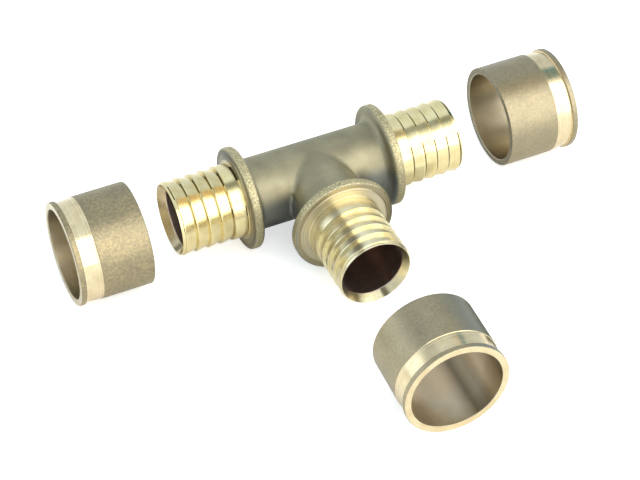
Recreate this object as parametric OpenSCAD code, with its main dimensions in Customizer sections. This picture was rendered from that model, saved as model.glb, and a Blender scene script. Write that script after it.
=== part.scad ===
// Press tee for 32 mm plastic pipe, with its three compression sleeves drawn off.
// The run lies along X, the branch points along -Y, and Z is up.
// The origin is where the run and branch axes cross. All sizes are millimetres.

/* [Pipe] */
// Outside diameter of the pipe that the fitting takes
pipe_od = 32; // [16:1:63]
// Wall of the pipe
pipe_wall = 2.9; // [2:0.1:6]
// How much the barb and sleeve squeeze the pipe wall
wall_squeeze = 0.2; // [0:0.05:0.6]
// Gap between the loose sleeve and the pipe
sleeve_clearance = 0.15; // [0.05:0.05:0.5]

/* [Body] */
// Half the length of the run, centre to mouth
run_half = 54; // [40:0.5:70]
// Length of the branch, centre to mouth
branch_length = 55.2; // [40:0.1:70]
// Outside diameter of the three barrels
barrel_od = 26; // [22:0.5:34]
// Bore of the run
run_bore_d = 22.6; // [16:0.1:28]
// Bore of the branch
branch_bore_d = 22.4; // [16:0.1:28]

/* [Collar] */
// Outside diameter of the collars and of the sleeve rims
collar_od = 37.4; // [30:0.1:48]
// Thickness of a collar
collar_thickness = 3.6; // [2:0.1:6]
// Distance from the centre to the outer face of a collar
collar_face = 28.9; // [24:0.1:40]
// Rounding of the collar edge that faces its port
collar_round_out = 1.3; // [0.2:0.1:2]
// Rounding of the collar edge that faces the body
collar_round_in = 2.1; // [0.2:0.1:3]
// Height of the shallow raised ring on the outer face of the collar
face_step = 0.35; // [0:0.05:1]
// Fillet between the barrel and the collar
root_fillet = 1.8; // [0.5:0.1:4]

/* [Barb] */
// Number of saw-tooth rings on each barb
ring_count = 5; // [3:1:8]
// Distance from one ring to the next
ring_pitch = 4.6; // [3:0.1:7]
// Depth of a ring, crest to valley
ring_depth = 0.95; // [0.3:0.05:1.5]
// Flat left on each crest
crest_flat = 0.35; // [0.1:0.05:1]
// Length of the lip between the mouth and the first ring
lip_length = 1.15; // [0.5:0.05:3]
// How far the lip lies below the crests
lip_drop = 0.5; // [0.1:0.05:1]
// Depth of the lead-in cone inside each mouth
lead_in_depth = 3; // [0:0.1:6]
// Wall left at the mouth, beside the lead-in cone
mouth_wall = 0.5; // [0.2:0.05:1.5]

/* [Sleeve] */
// Length of a sleeve
sleeve_length = 26.9; // [20:0.1:40]
// Wall of the sleeve barrel
sleeve_wall = 2.35; // [1.5:0.05:4]
// Width of the rim at the outer end
rim_width = 2; // [1:0.1:4]
// Width of the turned recess behind the rim
recess_width = 6.1; // [3:0.1:10]
// Depth of the recess beside the barrel
recess_depth_barrel = 0.2; // [0:0.05:1]
// Depth of the recess beside the rim
recess_depth_rim = 0.6; // [0:0.05:1.2]
// Chamfer on the edges of the sleeve
sleeve_edge = 0.4; // [0.1:0.05:1]

/* [Where the loose sleeves lie] */
// Centre to the near end of the left sleeve
left_gap = 66.9; // [56:0.1:90]
// How far the left sleeve is moved along Y
left_shift = -1.1; // [-2:0.1:2]
// Centre to the near end of the right sleeve
right_gap = 72.2; // [56:0.1:90]
// How far the right sleeve is moved along Y
right_shift = 2; // [-2:0.1:2]
// Centre to the near end of the branch sleeve
branch_gap = 88.5; // [58:0.1:110]
// How far the branch sleeve is moved along X
branch_shift = 1.9; // [-2:0.1:2]
// How far the branch sleeve is turned about Z
branch_turn = -1.8; // [-3:0.1:3]

/* [Hidden] */
// Facets round each turned shape
$fn = 48;
// Radii that follow from the pipe
sleeve_bore_r = pipe_od / 2 + sleeve_clearance;
// Crest radius of the barbs
crest_r = sleeve_bore_r - pipe_wall + wall_squeeze;
// Valley radius of the barbs
valley_r = crest_r - ring_depth;
// Radius of the lip
lip_r = crest_r - lip_drop;
// Radius of the barrels
barrel_r = barrel_od / 2;
// Radius of the collars
collar_r = collar_od / 2;
// Distance from the centre to the inner face of a collar
collar_back = collar_face - collar_thickness;
// Radius of the raised ring on the collar's outer face
step_r = (collar_r + crest_r) / 2 + 0.2;
// Outside radius of the sleeve barrel
sleeve_r = sleeve_bore_r + sleeve_wall;
// Where the rim of a sleeve starts
rim_start = sleeve_length - rim_width;
// Where the recess of a sleeve starts
recess_start = rim_start - recess_width;
// Small overlap that keeps cuts clear of faces
over = 0.5;
// Colours that tell the pieces apart in the plain views
body_colour = [0.66, 0.62, 0.5];
// Colour of the sleeves
sleeve_colour = [0.76, 0.7, 0.52];

// Points of a quarter circle about [x, y], from angle a to angle b
function arc(x, y, r, a, b, n) =
  [for (i = [0:n]) [x + r * cos(a + (b - a) * i / n), y + r * sin(a + (b - a) * i / n)]];

// Outline of one saw-tooth ring, from its tip-side riser back to the next valley
function ring(tip, k) =
  let (edge = tip - lip_length - k * ring_pitch)
  k == ring_count - 1
    ? [[crest_r, edge]]
    : [[valley_r, edge - ring_pitch], [crest_r, edge - crest_flat], [crest_r, edge]];

// Outline of all the rings, ordered from the collar outwards
function rings(tip) =
  [for (k = [ring_count - 1:-1:0]) for (p = ring(tip, k)) p];

// Half outline of one port: collar, barb and lip, with the axis along Y
function port_outline(tip) =
  concat(
    [[0, 0]],
    [[barrel_r, 0]],
    arc(barrel_r + root_fillet, collar_back - root_fillet, root_fillet, 180, 90, 4),
    arc(collar_r - collar_round_in, collar_back + collar_round_in, collar_round_in, -90, 0, 4),
    arc(collar_r - collar_round_out, collar_face - collar_round_out, collar_round_out, 0, 90, 4),
    [[step_r + 0.3, collar_face]],
    [[step_r, collar_face + face_step]],
    [[crest_r, collar_face + face_step]],
    rings(tip),
    [[lip_r, tip - lip_length]],
    [[lip_r, tip - 0.2]],
    [[lip_r - 0.2, tip]],
    [[0, tip]]
  );

// One port as a solid of revolution along Z
module port(tip) {
  rotate_extrude()
    polygon(port_outline(tip));
}

// Forged and turned body of the tee
module tee_body() {
  color(body_colour)
    difference() {
      union() {
        rotate([0, 90, 0])
          port(run_half);
        rotate([0, -90, 0])
          port(run_half);
        rotate([90, 0, 0])
          port(branch_length);
      }
      translate([-run_half - over, 0, 0])
        rotate([0, 90, 0])
          cylinder(r = run_bore_d / 2, h = 2 * run_half + 2 * over);
      for (side = [-90, 90])
        rotate([0, side, 0])
          translate([0, 0, run_half - lead_in_depth])
            lead_in(run_bore_d);
      rotate([90, 0, 0])
        cylinder(r = branch_bore_d / 2, h = branch_length + over);
      rotate([90, 0, 0])
        translate([0, 0, branch_length - lead_in_depth])
          lead_in(branch_bore_d);
    }
}

// The lead-in cone at a mouth, starting at its deep end
module lead_in(d) {
  rotate_extrude()
    polygon([
      [0, 0],
      [d / 2, 0],
      [lip_r - mouth_wall, lead_in_depth],
      [lip_r - mouth_wall, lead_in_depth + over],
      [0, lead_in_depth + over]
    ]);
}

// A compression sleeve along Z: plain end at 0, rim at the far end
module sleeve() {
  rotate_extrude()
    polygon([
      [sleeve_bore_r + sleeve_edge, 0],
      [sleeve_r - sleeve_edge, 0],
      [sleeve_r, sleeve_edge],
      [sleeve_r, recess_start - 0.15],
      [sleeve_r - recess_depth_barrel, recess_start],
      [sleeve_r - recess_depth_rim, rim_start - 0.1],
      [collar_r - sleeve_edge, rim_start],
      [collar_r, rim_start + sleeve_edge],
      [collar_r, sleeve_length - sleeve_edge],
      [collar_r - sleeve_edge, sleeve_length],
      [sleeve_bore_r + sleeve_edge, sleeve_length],
      [sleeve_bore_r, sleeve_length - sleeve_edge],
      [sleeve_bore_r, sleeve_edge]
    ]);
}

// Sleeve in front of the left port
module sleeve_left() {
  color(sleeve_colour)
    translate([-left_gap, left_shift, 0])
      rotate([0, -90, 0])
        sleeve();
}

// Sleeve in front of the right port
module sleeve_right() {
  color(sleeve_colour)
    translate([right_gap, right_shift, 0])
      rotate([0, 90, 0])
        sleeve();
}

// Sleeve in front of the branch port
module sleeve_branch() {
  color(sleeve_colour)
    translate([branch_shift, -branch_gap, 0])
      rotate([90, 0, branch_turn])
        sleeve();
}

tee_body();
sleeve_left();
sleeve_right();
sleeve_branch();
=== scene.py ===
import math

import bpy
from numpy import interp
from mathutils import Matrix, Vector


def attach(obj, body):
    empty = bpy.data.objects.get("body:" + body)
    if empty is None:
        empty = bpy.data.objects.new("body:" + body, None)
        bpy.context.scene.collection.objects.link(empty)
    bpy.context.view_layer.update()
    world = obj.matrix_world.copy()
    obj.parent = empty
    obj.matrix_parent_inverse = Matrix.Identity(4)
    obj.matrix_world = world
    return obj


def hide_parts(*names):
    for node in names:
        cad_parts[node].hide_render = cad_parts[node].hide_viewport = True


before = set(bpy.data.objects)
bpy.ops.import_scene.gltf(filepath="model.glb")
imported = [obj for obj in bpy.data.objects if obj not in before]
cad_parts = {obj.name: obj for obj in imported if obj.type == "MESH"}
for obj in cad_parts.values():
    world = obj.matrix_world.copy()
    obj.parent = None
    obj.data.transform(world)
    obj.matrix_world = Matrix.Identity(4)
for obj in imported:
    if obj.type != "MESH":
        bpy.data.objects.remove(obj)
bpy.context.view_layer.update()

# The three ports
# Each port of the tee is turned on a lathe from the brass forging: a collar, a barb of
# saw-tooth rings with the lip at its mouth, a lead-in cone and the bore. One port is
# drawn as an outline and spun, and the other two are copies of it. Sizes are in mm.
MM = 0.001
FACETS = 160

barrel_radius = 13.0
bore_radius = 11.3
collar_radius = 18.7
collar_back = 25.3
collar_face = 28.9
face_rounding = 0.7
step_height = 0.35
step_radius = 16.27
crest_radius = 13.45
valley_radius = 12.5
lip_radius = 12.95
mouth_radius = 12.75
run_mouth = 54.0
lip_length = 1.15
ring_count = 5
ring_pitch = 4.6
crest_flat = 0.35
first_crest = run_mouth - lip_length
last_crest = first_crest - (ring_count - 1) * ring_pitch
cone_start = run_mouth - 3
barrel_joint = 18.0
bore_joint = 16.0
tool_mark = 0.012

# Each corner is (along the axis, radius, corner rounding)
port_outline = [
    (barrel_joint, barrel_radius, 0),
    (collar_back, barrel_radius, 2.6),
    (collar_back, collar_radius, 1.3),
    (collar_face, collar_radius, face_rounding),
    (collar_face, 16.6, 0.08),
    (collar_face + step_height, step_radius, 0.15),
    (collar_face + step_height, crest_radius, 0.2),
]
for ring in range(ring_count - 1, 0, -1):
    crest = first_crest - ring * ring_pitch
    port_outline += [
        (crest, crest_radius, 0.07),
        (crest, valley_radius, 0.16),
        (crest + ring_pitch - crest_flat, crest_radius, 0.12),
    ]
port_outline += [
    (first_crest, crest_radius, 0.07),
    (first_crest, lip_radius, 0.12),
    (run_mouth, lip_radius, 0.12),
    (run_mouth, mouth_radius, 0.08),
    (cone_start, bore_radius, 0.3),
    (bore_joint, bore_radius, 0),
]


def turned(name, outline, closed=False):
    """Draw an outline in the XZ plane, round its corners and spin it round the X axis."""
    bpy.ops.object.select_all(action="DESELECT")
    bpy.ops.mesh.primitive_plane_add(size=MM)
    piece = bpy.context.object
    piece.name = name
    bpy.ops.object.mode_set(mode="EDIT")
    bpy.ops.mesh.select_mode(type="VERT")
    bpy.ops.mesh.select_all(action="SELECT")
    bpy.ops.mesh.merge(type="CENTER")
    path = list(outline) + [outline[0]] * closed
    bpy.ops.transform.translate(value=(path[0][0] * MM, 0, path[0][1] * MM))
    for here, there in zip(path, path[1:]):
        step = ((there[0] - here[0]) * MM, 0, (there[1] - here[1]) * MM)
        bpy.ops.mesh.extrude_region_move(TRANSFORM_OT_translate={"value": step})
    bpy.ops.mesh.select_all(action="SELECT")
    bpy.ops.mesh.remove_doubles(threshold=2e-6)
    for rounding in sorted({corner[2] for corner in outline} - {0}):
        bpy.ops.mesh.select_all(action="DESELECT")
        bpy.ops.object.mode_set(mode="OBJECT")
        places = [Vector((a * MM, 0, r * MM)) for a, r, size in outline if size == rounding]
        for vertex in piece.data.vertices:
            vertex.select = any((vertex.co - place).length < 5e-6 for place in places)
        bpy.ops.object.mode_set(mode="EDIT")
        bpy.ops.mesh.bevel(
            offset=rounding * MM,
            segments=8 if rounding > 1 else 3,
            affect="VERTICES",
            clamp_overlap=True,
        )
    bpy.ops.mesh.select_all(action="SELECT")
    bpy.ops.mesh.spin(
        steps=FACETS, angle=math.tau, center=(0, 0, 0), axis=(1, 0, 0), use_auto_merge=True
    )
    bpy.ops.mesh.select_all(action="SELECT")
    bpy.ops.mesh.remove_doubles(threshold=2e-6)
    bpy.ops.mesh.normals_make_consistent(inside=False)
    bpy.ops.object.mode_set(mode="OBJECT")
    # Each point keeps its place on the lathe and the depth of its tool marks, in mm
    marks = piece.data.attributes
    marks.new("on_lathe", "FLOAT_VECTOR", "POINT")
    marks.new("tool_depth", "FLOAT", "POINT")
    for vertex in piece.data.vertices:
        marks["on_lathe"].data[vertex.index].vector = vertex.co / MM
        marks["tool_depth"].data[vertex.index].value = tool_mark
    return piece


def place(piece, turn_z=0.0, shift=(0, 0, 0)):
    """Turn a piece about Z and move it by mm, and put that place into its mesh."""
    piece.data.transform(
        Matrix.Translation(Vector(shift) * MM) @ Matrix.Rotation(turn_z, 4, "Z")
    )


def copy_of(piece, name):
    """A copy of a piece with its own mesh."""
    bpy.ops.object.select_all(action="DESELECT")
    piece.select_set(True)
    bpy.context.view_layer.objects.active = piece
    bpy.ops.object.duplicate()
    bpy.context.object.name = name
    return bpy.context.object


def linear(code):
    """An sRGB hex colour as linear red, green, blue and alpha."""
    parts = [int(code[i : i + 2], 16) / 255 for i in (1, 3, 5)]
    return [c / 12.92 if c <= 0.04045 else ((c + 0.055) / 1.055) ** 2.4 for c in parts] + [1.0]


def add(tree, kind, inputs=None, stops=(), **settings):
    """Add a node with its settings, input values and links, and any colour ramp's stops.

    A colour mix is given its two colours as inputs 6 and 7, and gives output 2.
    """
    node = tree.nodes.new(kind)
    for key, value in settings.items():
        setattr(node, key, value)
    for key, value in (inputs or {}).items():
        if isinstance(value, bpy.types.NodeSocket):
            tree.links.new(value, node.inputs[key])
        else:
            node.inputs[key].default_value = value
    for count, (where, code) in enumerate(stops):
        band = node.color_ramp.elements
        element = band[count] if count < len(band) else band.new(where)
        element.position = where
        element.color = linear(code)
    return node


def bare_metal(name, roughness):
    """A new material of bare metal, with its node tree and its shader."""
    material = bpy.data.materials.new(name)
    material.use_nodes = True
    tree = material.node_tree
    shader = tree.nodes["Principled BSDF"]
    shader.inputs["Metallic"].default_value = 1.0
    shader.inputs["Roughness"].default_value = roughness
    return material, tree, shader


def recoloured(material, name, codes):
    """A copy of a material with other colours in its skin."""
    copy = material.copy()
    copy.name = name
    for element, code in zip(copy.node_tree.nodes["skin"].color_ramp.elements, codes):
        element.color = linear(code)
    return copy


def around_axis(tree):
    """The place on the lathe in mm, then the distances along its axis and out from it."""
    spot = add(tree, "ShaderNodeAttribute", attribute_name="on_lathe").outputs["Vector"]
    split = add(tree, "ShaderNodeSeparateXYZ", {"Vector": spot})
    flat = add(tree, "ShaderNodeCombineXYZ", {"Y": split.outputs["Y"], "Z": split.outputs["Z"]})
    out = add(tree, "ShaderNodeVectorMath", {0: flat.outputs["Vector"]}, operation="LENGTH")
    return spot, split.outputs["X"], out.outputs["Value"]


# Hot-forged brass, shot-blasted: a dull olive skin with faint cloudy stains of 9 mm,
# which gives broad soft highlights. The real grain, near 0.1 mm, is too fine to show, so
# it is drawn at 0.4 mm. A noise's scale is one over its size: 2600 to the metre here.
forged, tree, shader = bare_metal("forged_brass_blasted", 0.57)
spot = add(tree, "ShaderNodeTexCoord").outputs["Object"]
clouds = add(
    tree, "ShaderNodeTexNoise", {"Vector": spot, "Scale": 110.0, "Detail": 3.0}
).outputs["Fac"]
grain = add(
    tree, "ShaderNodeTexNoise", {"Vector": spot, "Scale": 2600.0, "Detail": 2.0}
).outputs["Fac"]
mottle = add(tree, "ShaderNodeMix", {"Factor": 0.25, "A": clouds, "B": grain})
skin = add(
    tree, "ShaderNodeValToRGB", {"Fac": mottle.outputs["Result"]},
    stops=[(0.35, "#989177"), (0.5, "#A59D81"), (0.65, "#B2A98A")],
)
# Painted shade: the lower half of the forging is darker and greyer, where shade falls
height = add(tree, "ShaderNodeSeparateXYZ", {"Vector": spot}).outputs["Z"]
lower_half = add(
    tree, "ShaderNodeMapRange",
    {"Value": height, "From Min": 6.5 * MM, "From Max": 2.5 * MM, "To Min": 0.0, "To Max": 0.8},
).outputs["Result"]
shaded = add(
    tree, "ShaderNodeMix",
    {"Factor": lower_half, 6: skin.outputs["Color"], 7: linear("#7E817D")}, data_type="RGBA",
)
tree.links.new(shaded.outputs[2], shader.inputs["Base Color"])
bump = add(tree, "ShaderNodeBump", {"Strength": 0.35, "Distance": 0.03 * MM, "Height": grain})
tree.links.new(bump.outputs["Normal"], shader.inputs["Normal"])

# The trimmed edge of each collar: the flash was ground off before blasting, which left
# a coarse golden grain of about 0.5 mm. Painted shade makes it darker low down, as on the
# forging.
trimmed, tree, shader = bare_metal("trimmed_edge_brass", 0.62)
spot = add(tree, "ShaderNodeTexCoord").outputs["Object"]
grit = add(
    tree, "ShaderNodeTexNoise", {"Vector": spot, "Scale": 1900.0, "Detail": 3.0}
).outputs["Fac"]
skin = add(
    tree, "ShaderNodeValToRGB", {"Fac": grit},
    stops=[(0.36, "#A49A7B"), (0.5, "#BEB38E"), (0.64, "#E0D5AB")],
)
height = add(tree, "ShaderNodeSeparateXYZ", {"Vector": spot}).outputs["Z"]
low_down = add(
    tree, "ShaderNodeMapRange",
    {"Value": height, "From Min": 12.0 * MM, "From Max": 5.5 * MM, "To Min": 0.0, "To Max": 0.5},
).outputs["Result"]
shaded = add(
    tree, "ShaderNodeMix",
    {"Factor": low_down, 6: skin.outputs["Color"], 7: linear("#7D755C")}, data_type="RGBA",
)
tree.links.new(shaded.outputs[2], shader.inputs["Base Color"])
bump = add(tree, "ShaderNodeBump", {"Strength": 0.45, "Distance": 0.04 * MM, "Height": grit})
tree.links.new(bump.outputs["Normal"], shader.inputs["Normal"])

# Free-cutting brass, turned: bright yellow, with tool lines 0.2 mm apart that run round
# the axis, and streaks of 0.5 mm and patches of 4 mm in its tone. The place on the lathe
# is in mm, so a scale on it is one over the size in mm.
turned_brass, tree, shader = bare_metal("turned_brass", 0.2)
spot, along, out = around_axis(tree)
feed = add(tree, "ShaderNodeMath", {0: along, 1: out}, operation="ADD").outputs["Value"]
lines = add(
    tree, "ShaderNodeTexNoise",
    {"W": feed, "Scale": 5.0, "Detail": 3.0}, noise_dimensions="1D",
).outputs["Fac"]
streaks = add(
    tree, "ShaderNodeTexNoise",
    {"W": feed, "Scale": 1.9, "Detail": 4.0, "Roughness": 0.7}, noise_dimensions="1D",
).outputs["Fac"]
patches = add(
    tree, "ShaderNodeTexNoise", {"Vector": spot, "Scale": 0.25, "Detail": 2.0}
).outputs["Fac"]
tone = add(tree, "ShaderNodeMix", {"Factor": 0.5, "A": streaks, "B": patches})
skin = add(
    tree, "ShaderNodeValToRGB", {"Fac": tone.outputs["Result"]},
    stops=[(0.36, "#DCC78D"), (0.5, "#EAD7A0"), (0.64, "#F0E2B2")], name="skin",
)
# Painted shade darkens the foot of each saw-tooth, below its crest, where the riser shades it.
# A width attribute on each point says how wide it is, in mm.
past_last_crest = add(
    tree, "ShaderNodeMath", {0: along, 1: last_crest}, operation="SUBTRACT"
).outputs["Value"]
from_foot = add(
    tree, "ShaderNodeMath", {0: past_last_crest, 1: ring_pitch}, operation="MODULO"
).outputs["Value"]
dirt_width = add(tree, "ShaderNodeAttribute", attribute_name="dirt_width").outputs["Fac"]
inside_dirt = add(
    tree, "ShaderNodeMath", {0: dirt_width, 1: from_foot}, operation="SUBTRACT"
).outputs["Value"]
near_foot = add(
    tree, "ShaderNodeMapRange",
    {"Value": inside_dirt, "From Min": 0.0, "From Max": 0.12, "To Min": 0.0, "To Max": 0.9},
).outputs["Result"]
below_crest = add(
    tree, "ShaderNodeMapRange",
    {"Value": out, "From Min": 13.0, "From Max": 13.25, "To Min": 1.0, "To Max": 0.0},
).outputs["Result"]
among_rings = add(
    tree, "ShaderNodeMath", {0: past_last_crest, 1: -0.1}, operation="GREATER_THAN"
).outputs["Value"]
in_tooth = add(
    tree, "ShaderNodeMath", {0: below_crest, 1: among_rings}, operation="MULTIPLY"
).outputs["Value"]
dirt = add(
    tree, "ShaderNodeMath", {0: near_foot, 1: in_tooth}, operation="MULTIPLY"
).outputs["Value"]
# Painted shade also darkens the corner between the neck and the collar,
in_corner = add(
    tree, "ShaderNodeMath",
    {0: along, 1: collar_face + 0.8, 2: dirt_width}, operation="COMPARE",
).outputs["Value"]
dirt = add(
    tree, "ShaderNodeMath", {0: dirt, 1: in_corner}, operation="MAXIMUM"
).outputs["Value"]
# and so does a painted dark reflection along the branch's barb, with a dark patch and dark marks,
# on the branch alone
tarnish = add(tree, "ShaderNodeAttribute", attribute_name="tarnish").outputs["Fac"]
dirt = add(
    tree, "ShaderNodeMath", {0: dirt, 1: tarnish}, operation="MAXIMUM"
).outputs["Value"]
dirty = add(
    tree, "ShaderNodeMix",
    {"Factor": dirt, 6: skin.outputs["Color"], 7: linear("#4A4029")}, data_type="RGBA",
)
tree.links.new(dirty.outputs[2], shader.inputs["Base Color"])
depth_in_mm = add(tree, "ShaderNodeAttribute", attribute_name="tool_depth").outputs["Fac"]
depth = add(
    tree, "ShaderNodeMath", {0: depth_in_mm, 1: MM}, operation="MULTIPLY"
).outputs["Value"]
bump = add(tree, "ShaderNodeBump", {"Strength": 1.0, "Distance": depth, "Height": lines})
tree.links.new(bump.outputs["Normal"], shader.inputs["Normal"])

# The front face of each collar: faced on the lathe, then dulled by handling, so a satin
# tan with rings 0.3 mm apart, and paler on the raised step round the neck. Painted shade,
# given per point and different on each port, darkens it away from the neck.
faced, tree, shader = bare_metal("faced_brass", 0.4)
_, _, out = around_axis(tree)
rings = add(
    tree, "ShaderNodeTexNoise",
    {"W": out, "Scale": 3.5, "Detail": 3.0}, noise_dimensions="1D",
).outputs["Fac"]
land = add(
    tree, "ShaderNodeValToRGB", {"Fac": rings},
    stops=[(0.35, "#857B63"), (0.5, "#978C72"), (0.65, "#B0A485")], name="skin",
)
step = add(
    tree, "ShaderNodeValToRGB", {"Fac": rings},
    stops=[(0.35, "#B8AD90"), (0.5, "#CCC1A4"), (0.65, "#DED4B8")],
)
on_step = add(
    tree, "ShaderNodeMath", {0: out, 1: step_radius - 0.02}, operation="LESS_THAN"
).outputs["Value"]
land_or_step = add(
    tree, "ShaderNodeMix",
    {"Factor": on_step, 6: land.outputs["Color"], 7: step.outputs["Color"]}, data_type="RGBA",
)
film = add(tree, "ShaderNodeAttribute", attribute_name="film").outputs["Fac"]
off_neck = add(
    tree, "ShaderNodeMath", {0: out, 1: crest_radius + 1.15}, operation="GREATER_THAN"
).outputs["Value"]
grease = add(
    tree, "ShaderNodeMath", {0: film, 1: off_neck}, operation="MULTIPLY"
).outputs["Value"]
filmed = add(
    tree, "ShaderNodeMix",
    {"Factor": grease, 6: land_or_step.outputs[2], 7: linear("#57523F")}, data_type="RGBA",
)
tree.links.new(filmed.outputs[2], shader.inputs["Base Color"])
bump = add(tree, "ShaderNodeBump", {"Strength": 0.3, "Distance": 0.02 * MM, "Height": rings})
tree.links.new(bump.outputs["Normal"], shader.inputs["Normal"])

# Drilled bore: the same brass, duller and greyer, with drill rings 0.5 mm apart and
# blotches of 4.5 mm. An attribute on each point darkens it with stains and painted shade:
# the right sleeve's bore has painted shade all round, and the branch sleeve's has a dark wedge of
# painted reflection. It is 0 where a bore is clean.
bore_brass, tree, shader = bare_metal("drilled_brass", 0.32)
spot = add(tree, "ShaderNodeAttribute", attribute_name="on_lathe").outputs["Vector"]
along = add(tree, "ShaderNodeSeparateXYZ", {"Vector": spot}, name="along").outputs["X"]
rings = add(
    tree, "ShaderNodeTexNoise",
    {"W": along, "Scale": 2.0, "Detail": 3.0}, noise_dimensions="1D",
).outputs["Fac"]
blotches = add(
    tree, "ShaderNodeTexNoise", {"Vector": spot, "Scale": 0.22, "Detail": 3.0}
).outputs["Fac"]
patina = add(tree, "ShaderNodeMix", {"Factor": 0.8, "A": rings, "B": blotches})
skin = add(
    tree, "ShaderNodeValToRGB", {"Fac": patina.outputs["Result"]},
    stops=[(0.3, "#DACCAE"), (0.5, "#E4D6B8"), (0.7, "#EBDFC4")], name="skin",
)
stain = add(tree, "ShaderNodeAttribute", attribute_name="stain").outputs["Fac"]
stained = add(
    tree, "ShaderNodeMix",
    {"Factor": stain, 6: skin.outputs["Color"], 7: linear("#4E4636")},
    data_type="RGBA", name="stained",
)
tree.links.new(stained.outputs[2], shader.inputs["Base Color"])
bump = add(tree, "ShaderNodeBump", {"Strength": 0.2, "Distance": 0.012 * MM, "Height": rings})
tree.links.new(bump.outputs["Normal"], shader.inputs["Normal"])

# The lead-in cones and the turned faces of the sleeves are paler, and the barb, cone and
# collar's face of the branch are paler too. The bores of the tee are dull and brown.
pale_turned = recoloured(turned_brass, "turned_brass_pale", ("#D6C095", "#E3CEA4", "#ECDCB4"))
pale_barb = recoloured(turned_brass, "turned_brass_branch", ("#DBCEA4", "#E5D9B2", "#EEE5C2"))
pale_barb.node_tree.nodes["Principled BSDF"].inputs["Roughness"].default_value = 0.26
pale_faced = recoloured(faced, "faced_brass_branch", ("#92876D", "#A69A7D", "#C2B492"))
dull_bore = recoloured(bore_brass, "drilled_brass_dull", ("#BFAAA0", "#C8B5AA", "#D1C0B5"))

# Each face takes its finish from its place on the port
FORGED, TURNED, DRILLED, TRIMMED, FACED, CONE = range(6)
right_port = turned("right_port", port_outline)
for material in (forged, turned_brass, dull_bore, trimmed, faced, pale_turned):
    right_port.data.materials.append(material)
for face in right_port.data.polygons:
    along = face.center.x / MM
    radius = math.hypot(face.center.y, face.center.z) / MM
    if radius < bore_radius + 0.05 and along < cone_start + 0.2:
        face.material_index = DRILLED
    elif (
        collar_face - 0.1 < along < collar_face + 0.5
        and crest_radius + 0.15 < radius < collar_radius - face_rounding
    ):
        face.material_index = FACED
    elif radius < mouth_radius - 0.3 and along > cone_start - 0.2:
        face.material_index = CONE
    elif along > collar_face + 0.02 or radius < mouth_radius - 0.05:
        face.material_index = TURNED
    elif radius > collar_radius - 0.3:
        face.material_index = TRIMMED
    else:
        face.material_index = FORGED

left_port = copy_of(right_port, "left_port")
branch_port = copy_of(right_port, "branch_port")
branch_port.data.materials[TURNED] = pale_barb
branch_port.data.materials[CONE] = pale_barb
branch_port.data.materials[FACED] = pale_faced

# On the branch the plain neck of the barb is longer, and the bore was drilled tighter
extra_neck = 1.2
branch_bore_radius = 11.2
neck_middle = 31.0
for vertex in branch_port.data.vertices:
    if vertex.co.x > neck_middle * MM:
        vertex.co.x += extra_neck * MM
        if math.hypot(vertex.co.y, vertex.co.z) < (bore_radius + 0.05) * MM:
            vertex.co.y *= branch_bore_radius / bore_radius
            vertex.co.z *= branch_bore_radius / bore_radius

place(left_port, math.pi)
place(branch_port, -math.pi / 2)

# The feet of the rings are given painted shade on some sides only, not where the light is
# brightest. Each width of it, in mm, holds up to its angle, and the painted shade on the
# collar's face is given at some angles, all from the top toward the front, or toward the right on
# the branch. The tool cut deeper on the branch.
for port, front, dirt_widths, mark_depth, film in (
    (
        right_port, (0, -1), ((20, 0.8), (48, 0.1), (180, 0.8)), tool_mark,
        {0: 0.25},
    ),
    (
        left_port, (0, -1),
        ((-12, 0.0), (18, 0.42), (60, 0.0), (76, 0.2), (180, 0.1)), tool_mark,
        {-50: 0.6, -30: 0.82, -10: 0.8, 0: 0.66, 10: 0.36, 20: 0.08, 40: 0.0, 60: 0.4, 75: 0.55},
    ),
    (
        branch_port, (1, 0), ((180, 0.0),), 0.02,
        {0: 0.0},
    ),
):
    marks = port.data.attributes
    marks.new("dirt_width", "FLOAT", "POINT")
    marks.new("film", "FLOAT", "POINT")
    for vertex in port.data.vertices:
        side = vertex.co.x * front[0] + vertex.co.y * front[1]
        angle = math.degrees(math.atan2(side, vertex.co.z))
        lathe = marks["on_lathe"].data[vertex.index].vector
        in_mouth = lathe.x > cone_start - 1 and math.hypot(lathe.y, lathe.z) < lip_radius - 0.1
        marks["dirt_width"].data[vertex.index].value = (
            0.0 if in_mouth else next(width for limit, width in dirt_widths if angle <= limit)
        )
        marks["film"].data[vertex.index].value = interp(angle, list(film), list(film.values()))
        marks["tool_depth"].data[vertex.index].value = mark_depth

# The branch's barb has a painted dark reflection, a streak along it, and a dark patch at its
# last ring, and its cone has two dark marks, by the angle from the top toward the right
streak = {-33: 0.0, -27: 0.32, -21: 0.45, -16: 0.0}
on_barb = {**streak, 44: 0.0, 54: 0.16, 64: 0.1, 76: 0.0}
on_outer_ring = {**streak, 40: 0.0, 50: 0.6, 60: 0.6, 70: 0.0}
on_cone = {
    -156: 0.0, -149: 0.7, -144: 0.7, -138: 0.4, -130: 0.0,
    152: 0.0, 157: 0.7, 160: 0.85, 165: 0.85, 168: 0.0,
}
marks = branch_port.data.attributes
marks.new("tarnish", "FLOAT", "POINT")
for vertex in branch_port.data.vertices:
    lathe = marks["on_lathe"].data[vertex.index].vector
    angle = math.degrees(math.atan2(vertex.co.x, vertex.co.z))
    if lathe.x > cone_start - 0.2 and math.hypot(lathe.y, lathe.z) < lip_radius - 0.1:
        dark = on_cone
    elif lathe.x > first_crest - ring_pitch + 0.1:
        dark = on_outer_ring
    else:
        dark = on_barb
    marks["tarnish"].data[vertex.index].value = interp(angle, list(dark), list(dark.values()))

# The crossing
# The run and branch barrels of the forging meet in two mitred creases with a small
# fillet. Inside, the drilled bores meet in the same way, with sharp creases. The ports
# and the crossing are then joined edge to edge into one closed solid of brass.
crease_fillet = 1.2


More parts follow.
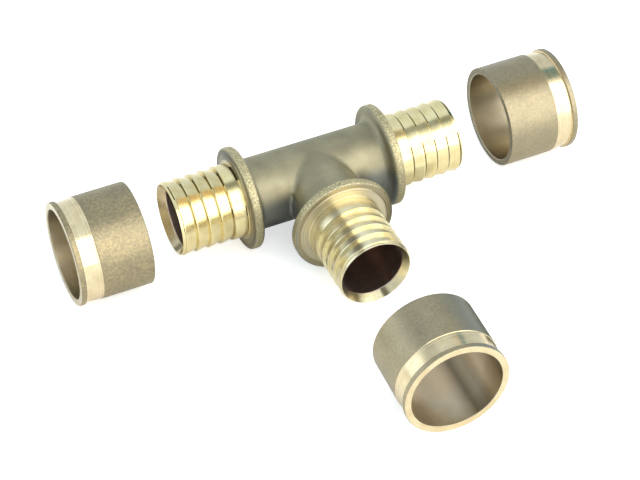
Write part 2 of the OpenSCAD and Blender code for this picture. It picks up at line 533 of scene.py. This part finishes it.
def crossing(name, radius, reach, fillet, material):
    """A tee of two equal tubes, open at its three ends, each as far out as the reach."""
    past_centre = 2.0
    bpy.ops.object.select_all(action="DESELECT")
    bpy.ops.mesh.primitive_cylinder_add(
        vertices=FACETS, radius=radius * MM, depth=2 * reach * MM,
        end_fill_type="NOTHING", rotation=(0, math.pi / 2, 0),
    )
    run = bpy.context.object
    bpy.ops.object.transform_apply(location=True, rotation=True)
    bpy.ops.object.select_all(action="DESELECT")
    bpy.ops.mesh.primitive_cylinder_add(
        vertices=FACETS, radius=radius * MM, depth=(reach + past_centre) * MM,
        end_fill_type="NOTHING", rotation=(math.pi / 2, 0, 0),
        location=(0, (past_centre - reach) / 2 * MM, 0),
    )
    branch = bpy.context.object
    bpy.ops.object.transform_apply(location=True, rotation=True)
    for tube in (run, branch):
        bpy.ops.object.select_all(action="DESELECT")
        tube.select_set(True)
        bpy.context.view_layer.objects.active = tube
        # The back of the run is cut across, so that it isn't long strips
        for cut in (-12, -6, 0, 6, 12) if tube is run else ():
            for face in tube.data.polygons:
                face.select = face.center.y > 0
            bpy.ops.object.mode_set(mode="EDIT")
            bpy.ops.mesh.select_mode(type="FACE")
            bpy.ops.mesh.bisect(plane_co=(cut * MM, 0, 0), plane_no=(1, 0, 0), threshold=1e-8)
            bpy.ops.object.mode_set(mode="OBJECT")
        # The creases lie in the two upright planes half-way between run and branch
        for slope in (1, -1):
            for face in tube.data.polygons:
                face.select = tube is branch or face.center.y < 0
            bpy.ops.object.mode_set(mode="EDIT")
            bpy.ops.mesh.select_mode(type="FACE")
            bpy.ops.mesh.bisect(plane_co=(0, 0, 0), plane_no=(1, slope, 0), threshold=1e-8)
            bpy.ops.object.mode_set(mode="OBJECT")
        for face in tube.data.polygons:
            side = -face.center.y - abs(face.center.x)
            face.select = side > 0 if tube is run else side < 0
        bpy.ops.object.mode_set(mode="EDIT")
        bpy.ops.mesh.delete(type="FACE")
        bpy.ops.object.mode_set(mode="OBJECT")
    run.select_set(True)
    branch.select_set(True)
    bpy.context.view_layer.objects.active = run
    bpy.ops.object.join()
    run.name = name
    bpy.ops.object.mode_set(mode="EDIT")
    bpy.ops.mesh.select_all(action="SELECT")
    bpy.ops.mesh.remove_doubles(threshold=2e-6)
    bpy.ops.object.mode_set(mode="OBJECT")
    if fillet:
        # The fillet grows from nothing at the top and bottom, where the creases meet,
        # to its full width 6 mm out
        points = run.data.vertices
        weights = run.data.attributes.new("bevel_weight_edge", "FLOAT", "EDGE")
        for edge, weight in zip(run.data.edges, weights.data):
            ends = [points[i].co for i in edge.vertices]
            if all(p.y < 1e-6 and abs(abs(p.x) + p.y) < 2e-6 for p in ends):
                weight.value = min(1.0, max(abs(p.x) for p in ends) / (6 * MM))
        bpy.ops.object.modifier_add(type="BEVEL")
        crease = run.modifiers[-1]
        crease.limit_method = "WEIGHT"
        crease.width = fillet * MM
        crease.segments = 6
        crease.use_clamp_overlap = False
        bpy.ops.object.modifier_apply(modifier=crease.name)
    run.data.materials.append(material)
    return run


def smooth(piece):
    """Smooth shading with crisp edges, for a piece that is the active object."""
    bpy.ops.object.shade_smooth_by_angle(angle=math.radians(35))
    bpy.ops.object.modifier_add(type="WEIGHTED_NORMAL")
    piece.modifiers[-1].keep_sharp = True
    bpy.ops.object.modifier_apply(modifier=piece.modifiers[-1].name)


barrels = crossing("barrels", barrel_radius, barrel_joint, crease_fillet, forged)
bores = crossing("bores", bore_radius, bore_joint, 0, dull_bore)

bpy.ops.object.select_all(action="DESELECT")
for shell in (right_port, left_port, branch_port, barrels, bores):
    shell.select_set(True)
bpy.context.view_layer.objects.active = right_port
bpy.ops.object.join()
tee = bpy.context.object
tee.name = "press_tee_body"
bpy.ops.object.mode_set(mode="EDIT")
bpy.ops.mesh.select_all(action="SELECT")
bpy.ops.mesh.remove_doubles(threshold=3e-6)
bpy.ops.mesh.normals_make_consistent(inside=False)
bpy.ops.object.mode_set(mode="OBJECT")
smooth(tee)
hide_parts("tee_body")
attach(tee, "root")

# The sleeves
# Three loose compression sleeves, cut from drawn brass tube. The barrel keeps the rough
# skin of the tube, the recess and the rim's face are turned, and the plain end is sawn.
# On a finished joint each is pressed over the pipe and the barb, up to the collar.
sleeve_length = 26.9
sleeve_bore = 16.15
sleeve_radius = 18.5
recess_start = 18.8
rim_start = 24.9
sleeve_outline = [
    (0, sleeve_bore, 0.35),
    (0, sleeve_radius, 0.35),
    (recess_start - 0.15, sleeve_radius, 0.08),
    (recess_start, sleeve_radius - 0.2, 0.08),
    (rim_start - 0.1, sleeve_radius - 0.6, 0.15),
    (rim_start, collar_radius, 0.3),
    (sleeve_length, collar_radius, 0.35),
    (sleeve_length, sleeve_bore, 0.35),
]

# Drawn brass tube, pickled: a matt tan skin with a sparkling grain and stains of 6 mm.
# The real grain, near 0.3 mm, is drawn at 0.9 mm to show.
drawn, tree, shader = bare_metal("drawn_brass_skin", 0.46)
spot = add(tree, "ShaderNodeTexCoord").outputs["Object"]
clouds = add(
    tree, "ShaderNodeTexNoise", {"Vector": spot, "Scale": 160.0, "Detail": 3.0}
).outputs["Fac"]
grain = add(
    tree, "ShaderNodeTexNoise", {"Vector": spot, "Scale": 1100.0, "Detail": 3.0}
).outputs["Fac"]
mottle = add(tree, "ShaderNodeMix", {"Factor": 0.7, "A": clouds, "B": grain})
skin = add(
    tree, "ShaderNodeValToRGB", {"Fac": mottle.outputs["Result"]},
    stops=[(0.36, "#92876D"), (0.5, "#9E9173"), (0.64, "#B2A17B")], name="skin",
)
tree.links.new(skin.outputs["Color"], shader.inputs["Base Color"])
relief = add(
    tree, "ShaderNodeBump", {"Strength": 0.9, "Distance": 0.13 * MM, "Height": grain},
    name="relief",
)
tree.links.new(relief.outputs["Normal"], shader.inputs["Normal"])

# The tube of the right and branch sleeves is smoother
fine_drawn = recoloured(drawn, "drawn_brass_fine", ("#988D72", "#A09478", "#AA9C7D"))
relief = fine_drawn.node_tree.nodes["relief"]
relief.inputs["Strength"].default_value = 0.5
relief.inputs["Distance"].default_value = 0.05 * MM
fine_drawn.node_tree.nodes["Principled BSDF"].inputs["Roughness"].default_value = 0.43

# The skin of the branch sleeve is lighter, with painted shade, a greyer band, along its right
# side
branch_drawn = recoloured(fine_drawn, "drawn_brass_branch", ("#A09478", "#A89B7E", "#B3A483"))
tree = branch_drawn.node_tree
spot = add(tree, "ShaderNodeTexCoord").outputs["Object"]
across = add(tree, "ShaderNodeSeparateXYZ", {"Vector": spot}).outputs["X"]
right_side = add(
    tree, "ShaderNodeMapRange",
    {"Value": across, "From Min": 4.0 * MM, "From Max": 11.0 * MM, "To Min": 0.0, "To Max": 0.8},
).outputs["Result"]
short_of_edge = add(
    tree, "ShaderNodeMapRange",
    {"Value": across, "From Min": 14.5 * MM, "From Max": 19.0 * MM, "To Min": 1.0, "To Max": 0.0},
).outputs["Result"]
grey_band = add(
    tree, "ShaderNodeMath", {0: right_side, 1: short_of_edge}, operation="MULTIPLY"
).outputs["Value"]
greyed = add(
    tree, "ShaderNodeMix",
    {"Factor": grey_band, 6: tree.nodes["skin"].outputs["Color"], 7: linear("#818378")},
    data_type="RGBA",
)
tree.links.new(greyed.outputs[2], tree.nodes["Principled BSDF"].inputs["Base Color"])

# The bore of the branch sleeve is browner toward its far end
branch_bore = bore_brass.copy()
branch_bore.name = "drilled_brass_branch"
tree = branch_bore.node_tree
along = tree.nodes["along"].outputs["X"]
far_end = add(
    tree, "ShaderNodeMapRange",
    {"Value": along, "From Min": 24.0, "From Max": 10.0, "To Min": 0.0, "To Max": 0.55},
).outputs["Result"]
browned = add(
    tree, "ShaderNodeMix",
    {"Factor": far_end, 6: tree.nodes["skin"].outputs["Color"], 7: linear("#E4BB8C")},
    data_type="RGBA",
)
tree.links.new(browned.outputs[2], tree.nodes["stained"].inputs[6])

# The plain end, sawn and pickled with the tube, is painted a darker olive as a dark reflection
sawn = recoloured(drawn, "sawn_brass_end", ("#7F7760", "#8A8168", "#988E72"))

DRAWN, RECESS, BORE, SAWN = range(4)
left_sleeve = turned("sleeve_at_left", sleeve_outline, closed=True)
for material in (drawn, pale_turned, bore_brass, sawn):
    left_sleeve.data.materials.append(material)
for face in left_sleeve.data.polygons:
    along = face.center.x / MM
    radius = math.hypot(face.center.y, face.center.z) / MM
    if radius < sleeve_bore + 0.05:
        face.material_index = BORE
    elif recess_start - 0.1 < along < rim_start - 0.05 or along > sleeve_length - 0.1:
        face.material_index = RECESS
    elif along < 0.3 and radius < sleeve_bore + 0.3:
        face.material_index = BORE
    elif along < 0.1:
        face.material_index = SAWN
    else:
        face.material_index = DRAWN
smooth(left_sleeve)
right_sleeve = copy_of(left_sleeve, "sleeve_at_right")
right_sleeve.data.materials[DRAWN] = fine_drawn
branch_sleeve = copy_of(left_sleeve, "sleeve_at_branch")
branch_sleeve.data.materials[DRAWN] = branch_drawn
branch_sleeve.data.materials[BORE] = branch_bore

# Each sleeve lies where it was drawn off, in front of its port, with the middle of its
# plain end at the given place. The stains and painted shade in its bore are given at some
# angles from the top toward the front, or toward the right on the branch's, and side says
# which side of the lathe that was, before the sleeve is turned into place.
for piece, node, turn_z, plain_end, side, stains in (
    (
        left_sleeve, "sleeve_left", math.pi, (-66.9, -1.1, 0), 1,
        {-180: 0.15, -165: 0.0, -135: 0.0, -120: 0.15, -105: 0.0, -90: 0.05, -75: 0.3},
    ),
    (
        right_sleeve, "sleeve_right", 0, (72.2, 2.0, 0), -1,
        {0: 0.4},
    ),
    (
        branch_sleeve, "sleeve_branch", -math.pi / 2 - math.radians(1.8), (1.9, -88.5, 0), 1,
        {-180: 0.33, -165: 0.22, -150: 0.05, -120: 0.0, 60: 0.5, 90: 0.5, 120: 0.48,
         133: 0.78, 150: 0.84, 158: 0.45, 166: 0.33},
    ),
):
    marks = piece.data.attributes
    marks.new("stain", "FLOAT", "POINT")
    for vertex in piece.data.vertices:
        angle = math.degrees(math.atan2(side * vertex.co.y, vertex.co.z))
        marks["stain"].data[vertex.index].value = interp(
            angle, list(stains), list(stains.values())
        )
    place(piece, turn_z, plain_end)
    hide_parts(node)
    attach(piece, "root")

# Floor and light
# A plain white table in a light tent, with one large softbox in front, beside the
# camera. The tent behind and above is a cooler white, with three dim patches in it and
# a brighter one at the left.
floor_level = -collar_radius * MM
bpy.ops.object.select_all(action="DESELECT")
bpy.ops.mesh.primitive_plane_add(size=6.0, location=(0, 0, floor_level - 0.05 * MM))
floor = bpy.context.object
floor.name = "floor"

# White paper, lifted to a plain white for the camera, and a little in the reflections
paper = bpy.data.materials.new("white_paper")
paper.use_nodes = True
tree = paper.node_tree
shader = tree.nodes["Principled BSDF"]
shader.inputs["Base Color"].default_value = linear("#FAF9F6")
shader.inputs["Roughness"].default_value = 0.9
shader.inputs["Specular IOR Level"].default_value = 0.1
rays = add(tree, "ShaderNodeLightPath")
in_metal = add(
    tree, "ShaderNodeMath", {0: rays.outputs["Is Glossy Ray"], 1: 0.03}, operation="MULTIPLY"
)
glow = add(
    tree, "ShaderNodeMath",
    {0: rays.outputs["Is Camera Ray"], 1: 0.5, 2: in_metal.outputs["Value"]},
    operation="MULTIPLY_ADD",
)
shader.inputs["Emission Color"].default_value = (1, 1, 1, 1)
tree.links.new(glow.outputs["Value"], shader.inputs["Emission Strength"])
floor.data.materials.append(paper)

world = bpy.data.worlds.new("light_tent")
bpy.context.scene.world = world
world.use_nodes = True
tree = world.node_tree
sky = add(tree, "ShaderNodeTexCoord").outputs["Generated"]


def toward(direction, start, end, low, high):
    """A smooth change from low to high, from start to end degrees off a sky direction."""
    aim = Vector(direction).normalized()
    near = add(tree, "ShaderNodeVectorMath", {0: sky, 1: aim}, operation="DOT_PRODUCT")
    return add(
        tree, "ShaderNodeMapRange",
        {
            "Value": near.outputs["Value"],
            "From Min": math.cos(math.radians(start)),
            "From Max": math.cos(math.radians(end)),
            "To Min": low,
            "To Max": high,
        },
        interpolation_type="SMOOTHSTEP",
    ).outputs["Result"]


# The tent is brightest behind, and each patch multiplies it
tent = toward((0.1, 1.0, 0.45), 120, 75, 0.6, 1.15)
for patch in (
    toward((-0.22, 0.91, 0.35), 20, 7, 1.0, 0.2),
    toward((-0.75, 0.56, 0.2), 34, 14, 1.0, 1.6),
    toward((0.75, 0.55, 0.37), 40, 20, 1.0, 0.8),
    toward((-0.40, 0.54, 0.74), 22, 8, 1.0, 0.68),
):
    tent = add(tree, "ShaderNodeMath", {0: tent, 1: patch}, operation="MULTIPLY").outputs["Value"]
tree.nodes["Background"].inputs["Color"].default_value = linear("#E6F3FF")
tree.links.new(tent, tree.nodes["Background"].inputs["Strength"])

# The softbox: its energy is set so that its face shows the given brightness
softbox_width = 1.3
softbox_height = 1.15
softbox_brightness = 2.35
softbox_roll = math.radians(-5)
light = bpy.data.lights.new("softbox_front", "AREA")
light.shape = "RECTANGLE"
light.size = softbox_width
light.size_y = softbox_height
light.energy = softbox_brightness * softbox_width * softbox_height * math.pi
light.color = linear("#FFFDF8")[:3]
softbox = bpy.data.objects.new("softbox_front", light)
softbox.location = Vector((0.33, -0.76, 0.56)).normalized() * 0.9
facing = (-softbox.location).to_track_quat("-Z", "Y").to_matrix()
softbox.rotation_euler = (facing @ Matrix.Rotation(softbox_roll, 3, "Z")).to_euler()
bpy.context.scene.collection.objects.link(softbox)

# Cards that only the gloss of the metal shows: three over the table, and two lying on it and two
# standing on it, which put painted shadow of the floor into the reflections where the tee shades
# the floor. Each has its centre, its size, its turn about Y and its colour.
for name, centre, size, turn_y, colour in (
    ("grey_card_middle", (0.075, -0.005, 0.35), (0.19, 0.13), 0, "#868C92"),
    ("gold_card", (0.215, -0.02, 0.35), (0.06, 0.22), 0, "#FFC63A"),
    ("blue_card_right", (0.305, 0.085, 0.35), (0.11, 0.21), 0, "#27728C"),
    ("dark_card_corner", (-0.017, -0.016, floor_level), (0.008, 0.02), 0, "#2A2A26"),
    ("grey_card_corner", (0.0305, -0.023, floor_level), (0.025, 0.038), 0, "#D2D4D2"),
    ("pale_card_corner", (0.0195, -0.027, -0.002), (0.028, 0.018), 90, "#BEBEB8"),
    ("grey_card_side", (0.027, -0.09, -0.0045), (0.027, 0.024), 90, "#949A9C"),
):
    bpy.ops.object.select_all(action="DESELECT")
    bpy.ops.mesh.primitive_plane_add(
        size=1.0, location=centre, rotation=(0, math.radians(turn_y), 0)
    )
    card = bpy.context.object
    card.name = name
    card.scale = (size[0], size[1], 1.0)
    bpy.ops.object.transform_apply(location=True, rotation=True, scale=True)
    for ray in ("camera", "diffuse", "shadow", "transmission"):
        setattr(card, "visible_" + ray, False)
    felt = bpy.data.materials.new(name)
    felt.use_nodes = True
    shader = felt.node_tree.nodes["Principled BSDF"]
    shader.inputs["Base Color"].default_value = linear(colour)
    shader.inputs["Roughness"].default_value = 0.9
    card.data.materials.append(felt)

# Camera
# It stands above and in front of the tee, a little to the left, and its place, axes and
# focal length come from the edges that can be measured in the picture.
focal_length_px = 2300.0
picture_width_px = 640
camera = bpy.data.cameras.new("camera")
camera.sensor_width = 36.0
camera.sensor_fit = "HORIZONTAL"
camera.lens = camera.sensor_width * focal_length_px / picture_width_px
camera.clip_start = 0.01
camera.clip_end = 20.0
eye = bpy.data.objects.new("camera", camera)
right = Vector((0.91398628, -0.4053233, -0.01849611))
up = Vector((0.29017033, 0.6210989, 0.72803663))
back = Vector((-0.2836023, -0.67078251, 0.68528867))
eye.matrix_world = Matrix.Translation(
    Vector((-236.4204, -566.089, 545.7964)) * MM
) @ Matrix((right, up, back)).transposed().to_4x4()
bpy.context.scene.collection.objects.link(eye)
bpy.context.scene.camera = eye

bpy.context.scene.view_settings.view_transform = "Standard"
